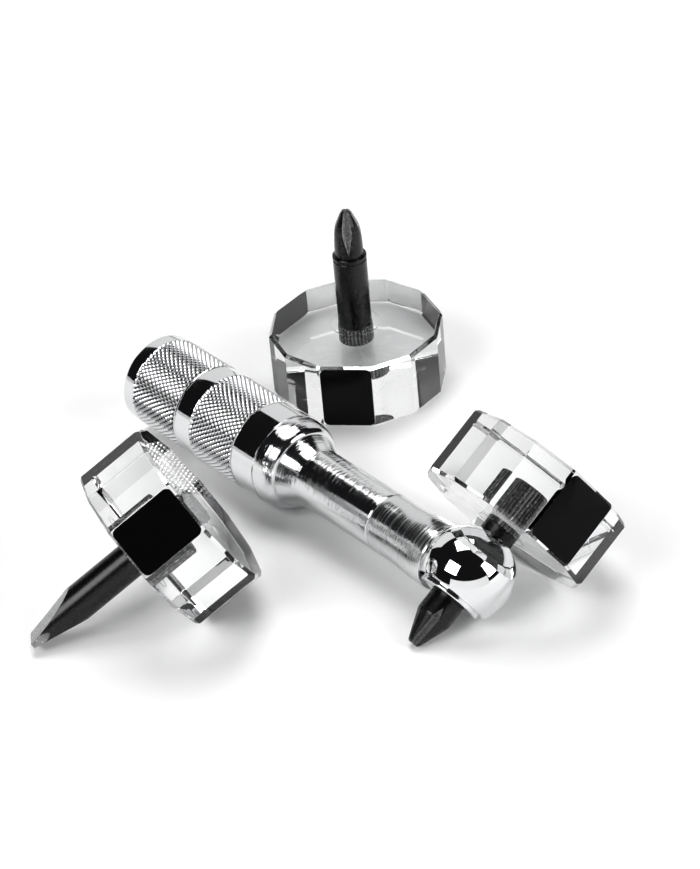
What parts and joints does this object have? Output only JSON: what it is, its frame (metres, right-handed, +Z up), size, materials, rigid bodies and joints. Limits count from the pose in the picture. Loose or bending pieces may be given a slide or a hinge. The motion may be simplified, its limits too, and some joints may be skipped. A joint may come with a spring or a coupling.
{
  "type": "palm driver set",
  "caption": "Clear twelve-sided acrylic knob drivers with round-shank bits, and a knurled chrome lever handle whose ball head holds one of them.",
  "frame": {"origin": "middle of the resting face of the standing knob, on the ground", "axes": "+Z up along the standing knob's bit, +X along the handle from its end cap to its ball head, -Y the way the plugged-in bit points"},
  "size_m": [0.1036, 0.1105, 0.0377],
  "materials": {
    "chrome_grip": "mirror chrome over a diamond knurl",
    "turned_chrome": "chrome over fine turning marks",
    "mirror_ball": "mirror polished",
    "plate": "polished rim",
    "clutch_steel": "oiled bearing steel",
    "cage": "moulded nylon",
    "rubber": "matt",
    "nylon": "moulded nylon",
    "clear": "polished clear acrylic",
    "black": "gloss black facet",
    "bit_steel": "satin black oxide"
  },
  "bodies": {
    "handle": {"grip_body": "chrome_grip", "neck_tube": "turned_chrome", "ball_head": "mirror_ball", "cover_plate": "plate", "clutch_cup": "clutch_steel", "clutch_cage": "cage", "clutch_rollers": "clutch_steel", "roller_springs": "clutch_steel"},
    "washer": {"cap_washer": "nylon"},
    "cap": {"end_cap": "chrome_grip"},
    "retainer": {"friction_ring": "rubber"},
    "driver_3": {"knob_3": "clear", "facets_3": "black", "bit_3": "bit_steel"},
    "driver_1": {"knob_1": "clear", "facets_1": "black", "bit_1": "bit_steel"},
    "driver_2": {"knob_2": "clear", "facets_2": "black", "bit_2": "bit_steel"}
  },
  "joints": [
    {"name": "cap_travel", "type": "slide", "parent": "handle", "child": "washer", "axis": [-1, 0, 0], "range_m": [0, 0.00525]},
    {"name": "cap_thread", "type": "hinge", "parent": "washer", "child": "cap", "pos_m": [0, -0.0337, 0.0088], "axis": [-1, 0, 0], "range_deg": [0, 2520]},
    {"name": "driver_spin", "type": "hinge", "parent": "handle", "child": "retainer", "pos_m": [0.0695, -0.0337, 0.0088], "axis": [0, -0.8533, -0.5214], "continuous": true},
    {"name": "driver_plug", "type": "slide", "parent": "retainer", "child": "driver_3", "axis": [0, 0.8533, 0.5214], "range_m": [-0.0006, 0.034]},
    {"name": "lift_driver_1", "type": "slide", "parent": "handle", "child": "driver_1", "axis": [0, 0, 1], "range_m": [0, 0.06]},
    {"name": "lift_driver_2", "type": "slide", "parent": "handle", "child": "driver_2", "axis": [0, 0, 1], "range_m": [0, 0.06]}
  ],
  "couplings": [
    {"joint": "cap_travel", "follows": "cap_thread", "m_per_rad": 0.00011937}
  ]
}
